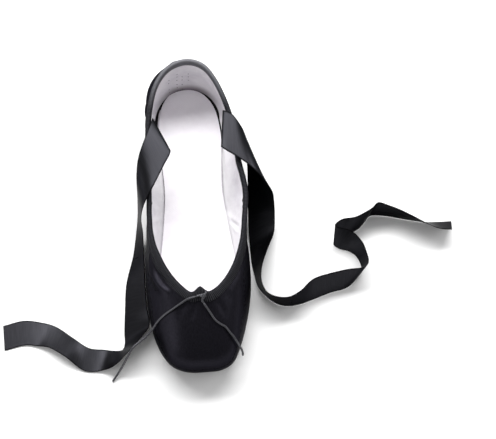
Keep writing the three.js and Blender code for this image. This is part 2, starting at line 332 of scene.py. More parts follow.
@dataclass(frozen=True)
class Finish:
    """What all finishes share: a name, a darker and a lighter colour, and how the surface takes light.

    The metallic share mirrors light as the cloth's long floats do, and edge_light is how much of it is left
    where the cloth is seen at a slant.
    """

    name: str
    dark: str
    light: str
    roughness: float
    specular: float = 0.5
    metallic: float = 0.0
    edge_light: float = 1.0

    def place_in_mm(self, tree: Tree, stretch: Row = (1, 1, 1)) -> Node:
        """The point on the piece in millimetres, drawn out along some axes."""
        where = add_node(tree, "TexCoord").outputs["Object"]
        return add_node(tree, "Mapping", {"Vector": where, "Scale": tuple(share / MM for share in stretch)})

    def way_in_mm(self, tree: Tree, stretch: Row = (1, 1, 1)) -> Node:
        """The point along and across a tape, cord or ribbon in millimetres, from its own UV map."""
        where = add_node(tree, "UVMap", uv_map=WAY_MAP)
        return add_node(tree, "Mapping", {"Vector": where, "Scale": tuple(share / MM for share in stretch)})

    def colour_by(self, tree: Tree, share: Feed, low: float = 0.0, high: float = 1.0) -> Socket:
        """Mix the finish's colour from its dark and its light one.

        Args:
            tree: The material's node tree.
            share: The pattern that chooses between them.
            low: The pattern's value where the colour is dark.
            high: Its value where the colour is light.

        Returns:
            The colour's socket.
        """
        spread = add_node(tree, "MapRange", {"Value": share, "From Min": low, "From Max": high})
        return add_node(tree, "Mix", {
            0: spread, 6: linear(self.dark), 7: linear(self.light),
        }, data_type="RGBA").outputs[2]

    def dress(self, tree: Tree) -> dict[str, Feed]:
        """The pattern, as what feeds each of the shader's inputs; a plain finish has none."""
        return {}

    def material(self) -> bpy.types.Material:
        """Make the finish as a Blender material.

        Returns:
            The material.
        """
        material = bpy.data.materials.new(self.name)
        material.use_nodes = True
        tree = material.node_tree
        tree.nodes.clear()
        shader = add_node(tree, "BsdfPrincipled", {
            "Base Color": linear(self.dark),
            "Roughness": self.roughness,
            "Specular IOR Level": self.specular,
            "Metallic": self.metallic,
            "Specular Tint": (self.edge_light, self.edge_light, self.edge_light, 1.0),
        })
        add_node(tree, "OutputMaterial", {"Surface": shader})
        for name, feed in self.dress(tree).items():
            tree.links.new(output_of(feed), shader.inputs[name])
        return material


@dataclass(frozen=True)
class ShoeSatin(Finish):
    """Polyester satin, woven with long floats: its floats mirror light alike at every slant, so it stays deep
    black at its outlines and shows broad soft bands of light."""

    thread_mm: float = 0.7
    cloud_mm: float = 45.0

    def dress(self, tree: Tree) -> dict[str, Feed]:
        """Satin: floats much coarser than real ones, so that they show as a faint grain in the sheen.

        Args:
            tree: The material's node tree.

        Returns:
            What feeds each of the shader's inputs.
        """
        floats = add_node(tree, "TexNoise", {
            "Vector": self.place_in_mm(tree, (1, 0.22, 1)), "Scale": 1 / self.thread_mm, "Detail": 2.0,
        })
        clouds = add_node(tree, "TexNoise", {
            "Vector": self.place_in_mm(tree), "Scale": 1 / self.cloud_mm, "Detail": 3.0,
        })
        gloss = add_node(tree, "MapRange", {
            "Value": clouds, "From Min": 0.3, "From Max": 0.7,
            "To Min": self.roughness - 0.04, "To Max": self.roughness + 0.05,
        })
        weave = add_node(tree, "Bump", {"Height": floats, "Strength": 0.16, "Distance": 0.12 * MM})
        return {
            "Base Color": self.colour_by(tree, floats, 0.2, 0.8),
            "Roughness": gloss,
            "Normal": weave,
        }


@dataclass(frozen=True)
class RibbonSatin(Finish):
    """Satin ribbon, woven narrow: dense cross threads give a soft charcoal sheen, with plain selvedges."""

    width_mm: float = 21.0
    selvedge_mm: float = 0.9
    rib_mm: float = 0.9
    edge_colour: str = "#121214"

    def dress(self, tree: Tree) -> dict[str, Feed]:
        """Ribbon: fine ribs across it, drawn coarser than real, and a firm dull selvedge at each edge.

        Args:
            tree: The material's node tree.

        Returns:
            What feeds each of the shader's inputs.
        """
        way = self.way_in_mm(tree)
        across = add_node(tree, "SeparateXYZ", {0: way})
        ribs = add_node(tree, "TexNoise", {
            "Vector": self.way_in_mm(tree, (1, 0.06, 1)), "Scale": 1 / self.rib_mm, "Detail": 1.5,
        })
        off_middle = add_node(tree, "Math", {
            0: across.outputs[1], 1: self.width_mm / 2,
        }, operation="SUBTRACT")
        distance = add_node(tree, "Math", {0: off_middle}, operation="ABSOLUTE")
        edge = add_node(tree, "MapRange", {
            "Value": distance,
            "From Min": self.width_mm / 2 - self.selvedge_mm,
            "From Max": self.width_mm / 2 - self.selvedge_mm * 0.6,
        })
        gloss = add_node(tree, "MapRange", {
            "Value": edge, "To Min": self.roughness, "To Max": self.roughness + 0.25,
        })
        height = add_node(tree, "Math", {0: ribs, 1: edge}, operation="ADD")
        weave = add_node(tree, "Bump", {"Height": height, "Strength": 0.12, "Distance": 0.12 * MM})
        cloth = self.colour_by(tree, ribs, 0.2, 0.8)
        edged = add_node(tree, "Mix", {0: edge, 6: cloth, 7: linear(self.edge_colour)}, data_type="RGBA")
        return {"Base Color": edged.outputs[2], "Roughness": gloss, "Normal": weave}


@dataclass(frozen=True)
class Grosgrain(Finish):
    """Grosgrain tape, woven with thick cross ribs: matt charcoal with fine dark grooves across it."""

    rib_mm: float = 1.1
    # Painted highlight: the paler grey the tape turns to towards the back of the heel
    painted_highlight: str = "#86868b"
    heel_mm: Row = (78.0, 117.0)
    heel_share: float = 0.75

    def dress(self, tree: Tree) -> dict[str, Feed]:
        """Tape: rounded ribs across it, a little coarser than real ones, paler round the heel with a painted
        highlight.

        Args:
            tree: The material's node tree.

        Returns:
            What feeds each of the shader's inputs.
        """
        way = self.way_in_mm(tree)
        ribs = add_node(tree, "TexWave", {
            "Vector": way, "Scale": WAVE_SCALE / self.rib_mm, "Distortion": 0.6, "Detail": 1.0,
        }, wave_type="BANDS", bands_direction="X")
        fluff = add_node(tree, "TexNoise", {"Vector": self.place_in_mm(tree), "Scale": 1.6, "Detail": 3.0})
        mixed = add_node(tree, "Math", {0: fluff, 1: 0.6, 2: ribs.outputs["Fac"]}, operation="MULTIPLY_ADD")
        weave = add_node(tree, "Bump", {"Height": mixed, "Strength": 0.6, "Distance": 0.3 * MM})
        # Painted highlight: paler towards the back of the heel, by the piece's own y
        axes = add_node(tree, "SeparateXYZ", {0: self.place_in_mm(tree)})
        painted_light = add_node(tree, "MapRange", {
            "Value": axes.outputs[1], "From Min": self.heel_mm[0], "From Max": self.heel_mm[1],
            "To Max": self.heel_share,
        })
        tape = add_node(tree, "Mix", {
            0: painted_light, 6: self.colour_by(tree, mixed, 0.3, 1.2), 7: linear(self.painted_highlight),
        }, data_type="RGBA")
        return {"Base Color": tape.outputs[2], "Normal": weave}


@dataclass(frozen=True)
class CottonDrill(Finish):
    """Cotton drill, woven as a diagonal twill: soft matt white with faint greying where it is handled."""

    twill_mm: float = 1.0
    stain_mm: float = 22.0

    def dress(self, tree: Tree) -> dict[str, Feed]:
        """Drill: twill lines about as wide as two real ones, and soft grey clouds.

        Args:
            tree: The material's node tree.

        Returns:
            What feeds each of the shader's inputs.
        """
        place = self.place_in_mm(tree)
        twill = add_node(tree, "TexWave", {
            "Vector": place, "Scale": WAVE_SCALE / self.twill_mm, "Distortion": 1.2, "Detail": 2.0,
        }, wave_type="BANDS", bands_direction="DIAGONAL")
        clouds = add_node(tree, "TexNoise", {
            "Vector": place, "Scale": 1 / self.stain_mm, "Detail": 4.0, "Roughness": 0.6,
        })
        weave = add_node(tree, "Bump", {
            "Height": twill.outputs["Fac"], "Strength": 0.25, "Distance": 0.15 * MM,
        })
        cloth = self.colour_by(tree, clouds, 0.35, 0.55)
        return {"Base Color": self.painted_light(tree, place, cloth), "Normal": weave}

    def painted_light(self, tree: Tree, place: Feed, cloth: Socket) -> Socket:
        """The cloth's colour with any painted shade; plain drill has none and keeps its own."""
        return cloth


@dataclass(frozen=True)
class HeelDrill(CottonDrill):
    """The cotton drill inside the heel, greyed at its foot by painted shade where it meets the insole, with a
    painted shadow in the slot by the board.
    """

    # Painted shade: the grey the lining darkens to at the foot of the heel
    grey: str = "#7d767b"
    # Painted shadow: the near-black of the slot between the board and the lining
    slot: str = "#1a1519"
    foot_mm: Row = (15.0, 6.5)
    slot_mm: Row = (6.7, 6.1)
    back_mm: Row = (98.0, 114.0)
    slot_back_mm: Row = (58.0, 80.0)

    def painted_light(self, tree: Tree, place: Feed, cloth: Socket) -> Socket:
        """Paint shade on the cloth, greyer downwards and towards the back, and paint the slot by the board
        dark as its shadow.

        Args:
            tree: The material's node tree.
            place: The point on the piece, in millimetres.
            cloth: The cloth's colour without painted shade.

        Returns:
            The cloth's colour with the painted shade and shadow.
        """
        axes = add_node(tree, "SeparateXYZ", {0: place})
        # Painted shade at the foot of the heel first, then the painted shadow of the slot
        for colour, down, along in (
            (self.grey, self.foot_mm, self.back_mm), (self.slot, self.slot_mm, self.slot_back_mm),
        ):
            low = add_node(tree, "MapRange", {
                "Value": axes.outputs[2], "From Min": down[0], "From Max": down[1],
            }, interpolation_type="SMOOTHSTEP")
            back = add_node(tree, "MapRange", {
                "Value": axes.outputs[1], "From Min": along[0], "From Max": along[1],
            })
            both = add_node(tree, "Math", {0: low, 1: back}, operation="MULTIPLY")
            cloth = add_node(tree, "Mix", {
                0: both, 6: cloth, 7: linear(colour),
            }, data_type="RGBA").outputs[2]
        return cloth


@dataclass(frozen=True)
class SplitLeather(Finish):
    """Split leather, buffed on its face: matt tan with a short nap, cloudy and a little scuffed."""

    nap_mm: float = 0.5
    cloud_mm: float = 14.0

    def dress(self, tree: Tree) -> dict[str, Feed]:
        """Leather: a short nap and soft clouds of a darker tan.

        Args:
            tree: The material's node tree.

        Returns:
            What feeds each of the shader's inputs.
        """
        nap = add_node(tree, "TexNoise", {
            "Vector": self.place_in_mm(tree), "Scale": 1 / self.nap_mm, "Detail": 3.0,
        })
        clouds = add_node(tree, "TexNoise", {
            "Vector": self.place_in_mm(tree, (1, 0.5, 1)), "Scale": 1 / self.cloud_mm, "Detail": 5.0,
        })
        mixed = add_node(tree, "Math", {0: nap, 1: 0.35, 2: clouds}, operation="MULTIPLY_ADD")
        grain = add_node(tree, "Bump", {"Height": nap, "Strength": 0.5, "Distance": 0.2 * MM})
        return {"Base Color": self.colour_by(tree, mixed, 0.45, 0.85), "Normal": grain}


@dataclass(frozen=True)
class BraidedCord(Finish):
    """Braided polyester cord: strands cross on its round surface and catch a dull light."""

    strand_mm: float = 1.1
    slant: float = 38.0

    def dress(self, tree: Tree) -> dict[str, Feed]:
        """Cord: two sets of strands that slant round it, wider than real ones so that they show.

        Args:
            tree: The material's node tree.

        Returns:
            What feeds each of the shader's inputs.
        """
        heights = []
        for slant in (self.slant, -self.slant):
            turned = add_node(tree, "Mapping", {
                "Vector": self.way_in_mm(tree), "Rotation": (0, 0, math.radians(slant)),
            })
            strands = add_node(tree, "TexWave", {
                "Vector": turned, "Scale": WAVE_SCALE / self.strand_mm,
            }, wave_type="BANDS", bands_direction="X")
            heights.append(strands.outputs["Fac"])
        crossed = add_node(tree, "Math", {0: heights[0], 1: heights[1]}, operation="MAXIMUM")
        braid = add_node(tree, "Bump", {"Height": crossed, "Strength": 0.4, "Distance": 0.2 * MM})
        return {"Base Color": self.colour_by(tree, crossed, 0.2, 1.0), "Normal": braid}


@dataclass(frozen=True)
class SewingThread(Finish):
    """Spun polyester thread: a dull short stitch with a slight twist."""

    twist_mm: float = 0.5

    def dress(self, tree: Tree) -> dict[str, Feed]:
        """Thread: fine twist lines in its colour.

        Args:
            tree: The material's node tree.

        Returns:
            What feeds each of the shader's inputs.
        """
        twist = add_node(tree, "TexWave", {
            "Vector": self.place_in_mm(tree), "Scale": WAVE_SCALE / self.twist_mm,
        }, bands_direction="DIAGONAL")
        return {"Base Color": self.colour_by(tree, twist.outputs["Fac"])}


SATIN = ShoeSatin("black_satin", "#1a191e", "#25242a", 0.38, specular=0.1, metallic=0.9, edge_light=0.4)
LINING = HeelDrill("white_cotton_drill", "#e0dde2", "#f1eff2", 0.9, specular=0.2)
# Near-black board side: partly the board's own dark edge, partly painted shade of the gap by the lining
BOARD_SIDE_AND_GAP_SHADE = SplitLeather("board_side_painted_shade", "#140f13", "#2e262a", 0.9, specular=0.1)
BOARD_COVER = CottonDrill("insole_cotton", "#f3eff4", "#faf7fb", 0.85, specular=0.2)
TAPE = Grosgrain("black_grosgrain", "#0d0d0f", "#38383c", 0.55, specular=0.06, metallic=0.7, edge_light=0.4)
SOLE = SplitLeather("tan_split_leather", "#b08c6c", "#d3b498", 0.8, specular=0.3)
CORD = BraidedCord("black_braided_cord", "#2c2c2f", "#5c5c60", 0.38, specular=0.2, metallic=0.7,
                   edge_light=0.5)
RIBBON = RibbonSatin("black_ribbon_satin", "#202023", "#28282b", 0.36, specular=0.1, metallic=0.9,
                     edge_light=0.4)
BLACK_THREAD = SewingThread("black_thread", "#17171a", "#343438", 0.6, specular=0.2)
HOLE_SHADE = SewingThread("needle_holes", "#4a4348", "#6d656b", 0.9, specular=0.1)


def finish_piece(piece: Piece, slot: str, *finishes: Finish, node: str | None = None) -> None:
    """Give a piece its materials and its body.

    Args:
        piece: The finished piece.
        slot: The record's material slot; not used.
        *finishes: Its finishes, in the order of its material indices.
        node: The CAD node whose place it takes, or None for a piece that only adds to one.
    """
    for finish in finishes:
        material = bpy.data.materials.get(finish.name) or finish.material()
        piece.data.materials.append(material)
    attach(piece, BODY)
    if node:
        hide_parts(node)
    LOG.info("%s: %d faces", piece.name, len(piece.data.polygons))


# Camera and light


@dataclass(frozen=True)
class Studio:
    """The camera at the photograph's angle, a pale floor and soft light from behind and above."""

    elevation: float = 66.5
    azimuth: float = -3.5
    distance: float = 0.95
    target: Row = (0.0, 0.0, 0.020)
    beside: float = 0.0391
    below: float = 0.0022
    lens: float = 92.4
    floor_size: float = 6.0
    floor_drop: float = 0.05 * MM
    surroundings: float = 0.44

    def axes(self) -> tuple[Vector, Vector, Vector]:
        """Work out the camera's own axes.

        Returns:
            The picture's right, its up and the way back to the camera.
        """
        e, a = math.radians(self.elevation), math.radians(self.azimuth)
        back = Vector((math.sin(a) * math.cos(e), -math.cos(a) * math.cos(e), math.sin(e)))
        right = Vector((math.cos(a), math.sin(a), 0))
        return right, back.cross(right), back

    def place_camera(self) -> None:
        """Make the camera and set it as the scene's own."""
        right, up, back = self.axes()
        target = Vector(self.target)
        eye = target + back * self.distance
        aim = target + right * self.beside - up * self.below
        new_back = (eye - aim).normalized()
        new_right = up.cross(new_back).normalized()
        new_up = new_back.cross(new_right)
        data = bpy.data.cameras.new("camera")
        data.lens = self.lens
        data.sensor_width = 36
        camera = add_object("camera", data)
        turn = Matrix((new_right, new_up, new_back)).transposed().to_4x4()
        camera.matrix_world = Matrix.Translation(eye) @ turn
        bpy.context.scene.camera = camera

    def place_light(self, name: str, direction: Row, distance: float, size: Row, watts: float) -> None:
        """Hang one soft light that shines on the shoe.

        Args:
            name: The light's name.
            direction: The way from the shoe to the light.
            distance: How far it hangs, in metres.
            size: Its width and height, in metres.
            watts: Its power.
        """
        data = bpy.data.lights.new(name, "AREA")
        data.shape = "RECTANGLE"
        data.size, data.size_y = size
        data.energy = watts
        lamp = add_object(name, data)
        way = Vector(direction).normalized()
        lamp.location = way * distance
        lamp.rotation_euler = way.to_track_quat("Z", "Y").to_euler()

    def light(self) -> None:
        """Hang the soft lights and set the pale surroundings."""
        self.place_light("key_light", (-0.04, 0.54, 0.84), 1.5, (2.0, 0.44), 37)
        self.place_light("left_light", (-0.95, -0.25, 0.36), 1.6, (0.9, 0.9), 5)
        self.place_light("right_light", (0.8, 0.15, 0.55), 1.6, (0.8, 0.8), 3)
        self.place_light("back_light", (0.0, 1.0, 0.3), 1.6, (1.6, 0.3), 4)
        world = bpy.data.worlds.new("studio")
        world.use_nodes = True
        background = world.node_tree.nodes["Background"]
        background.inputs[0].default_value = linear("#ffffff")
        background.inputs[1].default_value = self.surroundings
        bpy.context.scene.world = world
        bpy.context.scene.view_settings.view_transform = "Standard"

    def lay_floor(self) -> None:
        """Lay the plain pale floor."""
        bpy.ops.object.select_all(action="DESELECT")
        bpy.ops.mesh.primitive_plane_add(size=self.floor_size, location=(0, 0, -self.floor_drop))
        floor = bpy.context.active_object
        floor.name = "studio_floor"
        bpy.ops.object.transform_apply(location=True)
        paper = Finish("white_paper", "#fbfbfb", "#fbfbfb", 0.9, specular=0.1)
        floor.data.materials.append(paper.material())


# Cords and ribbons


def write_way(piece: Piece, along: Array, across: Array, turn: float = 0.0) -> None:
    """Write each corner's distance along and across the cloth to its own UV map.

    Args:
        piece: The mesh.
        along: The distance along it at each corner, in metres.
        across: The distance across it, in metres.
        turn: The length at which a closed tape begins again, or 0 for an open one.
    """
    mesh = piece.data
    layer = mesh.uv_layers.get(WAY_MAP) or mesh.uv_layers.new(name=WAY_MAP)
    corners = np.empty(len(mesh.loops), dtype=np.int32)
    mesh.loops.foreach_get("vertex_index", corners)
    u = along[corners].copy()
    v = across[corners]
    if turn:
        for face in mesh.polygons:
            span = slice(face.loop_start, face.loop_start + face.loop_total)
            if np.ptp(u[span]) > turn / 2:
                u[span] = np.where(u[span] < turn / 2, u[span] + turn, u[span])
    layer.data.foreach_set("uv", np.stack([u, v], axis=1).astype(np.float32).ravel())


def grid_faces(rows: int, columns: int, closed: bool) -> list[list[int]]:
    """Join neighbouring rows of corners by faces.

    Args:
        rows: How many rows there are.
        columns: How many corners each has.
        closed: Whether each row closes round.

    Returns:
        The corner numbers of each face.
    """
    faces = []
    for start in range(0, (rows - 1) * columns, columns):
        for c in range(columns if closed else columns - 1):
            a, b = start + c, start + (c + 1) % columns
            faces.append([a, b, b + columns, a + columns])
    return faces


def tube_mesh(path: Array, radius: float, sides: int) -> tuple[Array, list[list[int]], Array]:
    """Corners and faces of a round tube with narrowed ends along a path.

    Args:
        path: Its centreline, in metres.
        radius: Its radius, in metres.
        sides: How many corners go round it.

    Returns:
        The corners, the faces, and each corner's distance along and round the tube.
    """
    ways = unit(np.gradient(path, axis=0))
    across = [unit(np.cross(ways[0], (0, 0, 1) if abs(ways[0][2]) < 0.9 else (1, 0, 0)))]
    for way in ways[1:]:
        across.append(unit(across[-1] - way * np.dot(across[-1], way)))
    across = np.array(across)
    other = np.cross(ways, across)
    angles = 2 * math.pi * np.arange(sides) / sides
    out = np.cos(angles)[:, None] * across[:, None] + np.sin(angles)[:, None] * other[:, None]
    reach = np.full(len(path), radius)
    reach[[0, -1]] *= TUBE_END_SHARE
    faces = grid_faces(len(path), sides, closed=True)
    faces.append(list(range(sides))[::-1])
    faces.append([(len(path) - 1) * sides + i for i in range(sides)])
    way = np.stack([np.repeat(length_along(path), sides), np.tile(angles * radius, len(path))], axis=1)
    return (path[:, None] + reach[:, None, None] * out).reshape(-1, 3), faces, way


def tube_piece(name: str, paths: Sequence[Array], radius: float, sides: int = 12) -> Piece:
    """Make one mesh of one or more round cords, with the way along them in its UV map.

    Args:
        name: The piece's name.
        paths: The cords' centrelines, in metres.
        radius: Their radius, in metres.
        sides: How many corners go round each.

    Returns:
        The new piece.
    """
    places, faces, ways = [], [], []
    for path in paths:
        start = sum(len(p) for p in places)
        corners, its_faces, way = tube_mesh(path, radius, sides)
        places.append(corners)
        faces += [[start + k for k in face] for face in its_faces]
        ways.append(way)
    piece = mesh_piece(name, np.vstack(places), faces)
    write_way(piece, *np.vstack(ways).T)
    smooth_shading(piece)
    return piece


@dataclass
class Drawstring:
    """The cord in the casing: its knot at the throat and the two free ends."""

    radius: float = 0.75 * MM
    spacing: float = 1.2 * MM
    knot_place: Row = (0.6, -74.9, 52.0)
    knot_half: Row = (1.7, 1.5, 0.7)
    left: tuple[Row, ...] = (
        (-4.2, -74.8, 52.4), (-10.4, -75.9, 50.8), (-15.6, -78, 47.8), (-21, -80.4, 44.6),
        (-26.4, -82.2, 39.6), (-31.8, -84.3, 31.8), (-36.5, -88.5, 25.5), (-41.5, -92.6, 22.8),
        (-46.3, -95.7, 21.6), (-51, -99.6, 21.2), (-55, -104.3, 16.5), (-58.5, -108, 9.5),
        (-62.5, -112, 3.5), (-67, -117.5, 0.9),
    )
    right: tuple[Row, ...] = (
        (0.6, -79.2, 51.2), (2, -81.4, 50.4), (4.4, -84.9, 48.4), (8.4, -90.9, 45.9),
        (11.8, -93.4, 44.3), (15.4, -95.2, 42.2), (17.6, -98, 40.6), (20.5, -100.9, 37.8),
        (23, -103.9, 33.6), (25.2, -105.9, 27.8), (26.9, -107.2, 21), (27.4, -108.2, 14.5),
    )
    # The loop that comes out of the casing and passes over the knot, and the strand that leaves behind it
    strands: tuple[tuple[Row, ...], ...] = (
        ((2.4, -70.6, 51.6), (2.9, -71.6, 53.4), (2.7, -73.0, 54.2), (1.8, -74.6, 54.1), (0.7, -76.2, 53.2),
         (-0.1, -77.7, 52.1), (0.0, -78.6, 51.5), (0.6, -79.2, 51.2)),
        ((1.6, -73.4, 51.9), (-0.4, -73.9, 52.4), (-2.4, -74.4, 52.5), (-4.2, -74.8, 52.4)),
    )

    def knot_path(self) -> Array:
        """Draw the cord's way through the overhand knot.

        Returns:
            The places along it, in metres.
        """
        t = np.linspace(0, 2 * math.pi, 73)
        loop = np.stack([
            (np.sin(t) + 2 * np.sin(2 * t)) / 3,
            (np.cos(t) - 2 * np.cos(2 * t)) / 3,
            -np.sin(3 * t),
        ], axis=1)
        return (loop * np.array(self.knot_half) + np.array(self.knot_place)) * MM

    def build(self) -> None:
        short = [drawn_curve(points, 6) for points in self.strands]
        knot = tube_piece("knot_tied", [self.knot_path(), *short], self.radius)
        finish_piece(knot, "cord", CORD, node="drawstring_knot")
        for side, points in ((Side.LEFT, self.left), (Side.RIGHT, self.right)):
            path = evenly(drawn_curve(points, 24), self.spacing)
            cord = tube_piece(f"drawstring_end_{side.name.lower()}", [path], self.radius)
            finish_piece(cord, "cord", CORD, node=f"drawstring_{side.name.lower()}")


@dataclass
class Ribbon:
    """One satin ribbon, drawn between its two edges, a row for every section or fold."""

    side: Side
    rows: tuple[Row, ...]
    thickness: float = 0.4 * MM
    width: float = 21 * MM
    steps: int = 8
    columns: int = 10

    def build(self) -> None:
        table = np.array(self.rows, float) * MM
        at = np.arange((len(table) - 1) * self.steps + 1) / self.steps
        edge_a = curve_at(table[:, :3], at)
        edge_b = curve_at(table[:, 3:], at)
        middle = (edge_a + edge_b) / 2
        shares = np.linspace(0, 1, self.columns + 1)
        grid = edge_a[:, None] + (edge_b - edge_a)[:, None] * shares[None, :, None]
        node = f"ribbon_{self.side.name.lower()}"
        faces = grid_faces(len(at), len(shares), closed=False)
        piece = mesh_piece(f"{node}_cloth", grid.reshape(-1, 3), faces)
        write_way(piece, np.repeat(length_along(middle), len(shares)), np.tile(shares * self.width, len(at)))
        apply_modifier(piece, "SOLIDIFY", thickness=self.thickness, offset=0.0)
        smooth_shading(piece, 50)
        finish_piece(piece, "ribbon_satin", RIBBON, node=node)


RIBBON_LEFT: tuple[Row, ...] = (
    (-29.8, 69, 27, -31, 47, 27),
    (-28.6, 70, 37, -29.2, 46, 37),
    (-27.8, 70.5, 46.5, -16, 41, 50),
    (-33, 56, 49.5, -22, 28, 50.5),
    (-39.8, 39, 45.5, -29.5, 14, 49.5),
    (-42, 27, 38, -34.5, 5.5, 48.5),
    (-42.2, 15, 28, -38.6, -3, 46.5),
    (-43, 3, 18, -40.2, -8, 38),
    (-45, -7, 8, -39.6, -14, 28),
    (-48, -21, 1, -39.8, -26, 20),
    (-54, -43, 0.6, -40, -46, 16),
    (-56, -65, 0.45, -39.6, -66, 14),
    (-57, -81, 0.45, -38.4, -80, 12.5),
    (-57, -90, 1.5, -44, -90, 17.5),
    (-59, -94.5, 2, -52.5, -99.5, 19),
    (-65, -94.5, 1, -63.5, -108, 12),
    (-72, -93, 0.45, -73, -109, 3),
    (-83, -91, 0.45, -86, -108.5, 1),
    (-94, -83, 0.45, -100.5, -98, 7),
    (-107, -73, 0.45, -112, -90, 5),
    (-118, -69, 0.45, -120, -87.5, 2),
    (-130, -67, 0.45, -129, -86, 1),
    (-145, -70, 0.45, -144, -89, 0.45),
)
RIBBON_RIGHT: tuple[Row, ...] = (
    (29.8, 69, 27, 31, 47, 27),
    (28.4, 71, 37, 29, 46, 37),
    (25, 73, 48.5, 21.5, 42, 49.5),
    (31, 69.5, 49.5, 32, 34, 49),
    (37.5, 60, 47, 41.5, 27, 47),
    (40, 55, 43, 51.5, 16, 44),
    (41, 36, 31, 57.5, 11, 34),
    (40.5, 15, 14, 59.2, 9, 24),
    (39.8, -4, 4, 60, 2, 12),
    (40, -19, 1, 58.5, -11, 9),
    (40.2, -31, 0.45, 51.5, -28.5, 18),
    (41.5, -41, 0.45, 46, -43.5, 20.5),
    (43.5, -51, 0.45, 45, -55, 20.8),
    (49.5, -60, 0.45, 48.5, -63.5, 20.8),
    (57, -66, 0.45, 56, -67.5, 21),
    (65, -68, 0.45, 64, -68, 21),
    (74, -67, 0.45, 72.5, -64, 21),
    (85, -63.5, 0.45, 83, -55, 20),
    (97, -59.5, 0.45, 95, -51.5, 20),
    (108, -57, 0.45, 109, -49, 20),
    (115.5, -52, 0.45, 122.5, -47.5, 19.5),
    (122.5, -42, 0.45, 125, -44.5, 21),
    (119.5, -31.5, 0.45, 124.5, -36, 20.2),
    (114, -27, 0.45, 122.5, -27.5, 18.8),
    (107, -24.5, 0.45, 115.5, -18, 18.5),
    (103.5, -20.5, 0.45, 103.5, -13.5, 20.2),
    (109.5, -16.5, 0.45, 109, -9, 20.2),
    (117, -13, 0.45, 119.5, -7.5, 20),
    (124, -9, 0.45, 126.5, -4.5, 20),
    (129, -4, 0.45, 133, -1, 20.3),
    (133, 0.5, 0.45, 138, 3, 20.5),
    (138.5, 1, 0.45, 145.5, 0.5, 20),
    (146, 0, 0.45, 153.5, -3.5, 20),
    (156, -2.5, 0.45, 161, -8, 19.8),
    (166, -5, 0.45, 167.5, -12.5, 20),
    (176, -7, 0.45, 175, -17, 19),
    (186, -7.5, 0.45, 183, -20, 17.5),
    (196, -7.5, 0.45, 191.5, -21, 17),
)


# Stitches


@dataclass(frozen=True)
class Stitch:
    """One visible stitch: a short bead of thread, sunk at both ends."""

    length: float
    thickness: float
    segments: int = 6
    rings: int = 4

    def template(self) -> tuple[Array, list[list[int]]]:
        """Model one stitch along X.

        Returns:
            Its corners and its faces.
        """
        bpy.ops.object.select_all(action="DESELECT")
        bpy.ops.mesh.primitive_uv_sphere_add(
            segments=self.segments, ring_count=self.rings, radius=0.5, rotation=(0, math.pi / 2, 0),
        )
        bead = bpy.context.active_object
        bead.scale = (self.thickness, self.thickness, self.length)
        bpy.ops.object.transform_apply(location=True, rotation=True, scale=True)
        corners = places_of(bead)
        faces = [list(face.vertices) for face in bead.data.polygons]
        bpy.data.objects.remove(bead)
        return corners, faces

    def sew(self, name: str, places: Array, ways: Array, outs: Array) -> Piece:
        """Copy the stitch to each place as one joined mesh.

        Args:
            name: The piece's name.
            places: The middle of each stitch.
            ways: The direction of each.
            outs: The way out of the cloth at each.

        Returns:
            The joined stitches.
        """
        corners, faces = self.template()
        ways = unit(ways - outs * np.sum(ways * outs, axis=1, keepdims=True))
        across = np.cross(outs, ways)
        turned = (
            places[:, None]
            + corners[None, :, :1] * ways[:, None]
            + corners[None, :, 1:2] * across[:, None]
            + corners[None, :, 2:] * outs[:, None]
        )
        joined = [[k + n * len(corners) for k in face] for n in range(len(places)) for face in faces]
        piece = mesh_piece(name, turned.reshape(-1, 3), joined)
        smooth_shading(piece)
        return piece


TAPE_STITCH = Stitch(2.0 * MM, 0.36 * MM)
SEAM_STITCH = Stitch(1.7 * MM, 0.38 * MM)
NEEDLE_HOLE = Stitch(1.15 * MM, 0.5 * MM)


def on_surface(piece: Piece, places: Array) -> tuple[Array, Array]:
    """Find the nearest places on a piece's surface.

    Args:
        piece: The piece.
        places: The places to start from, in metres.

    Returns:
        The places on the surface, and the way out of it at each.
    """
    found = [piece.closest_point_on_mesh(Vector(place)) for place in places]
    return np.array([f[1] for f in found]), np.array([f[2] for f in found])


# The upper


@dataclass(frozen=True)
class Crease:
    """One soft ridge, or a trough where its height is below zero, drawn along the wall in millimetres."""

    path: tuple[Row, ...]
    height: float
    width: float
    face: Face = Face.BOTH
    bends_tape: bool = True

    def other_side(self) -> "Crease":
        """The same crease on the other side of the shoe."""
        return replace(self, path=tuple((-x, y, z) for x, y, z in self.path))

    def lift(self, piece: Piece, places: Array) -> Array:
        """Work out how far the crease moves each place outwards.

        Args:
            piece: The piece whose surface the crease follows.
            places: The places, in metres.

        Returns:
            One distance for each place, in metres.
        """
        path = on_surface(piece, drawn_curve(self.path, 6))[0]
        along = length_along(path)
        nearest = np.full(len(places), np.inf)
        share = np.zeros(len(places))
        for a, b, start, end in zip(path[:-1], path[1:], along[:-1], along[1:]):
            reach = b - a
            t = np.clip((places - a) @ reach / max(reach @ reach, 1e-12), 0, 1)
            squared = np.sum((places - a - t[:, None] * reach) ** 2, axis=1)
            closer = squared < nearest
            nearest[closer] = squared[closer]
            share[closer] = ((start + t * (end - start)) / along[-1])[closer]
        fade = np.sin(math.pi * np.clip(share, 0, 1)) ** 0.7
        spread = 2 * (self.width * MM) ** 2
        return self.height * MM * fade * np.exp(-nearest / spread)


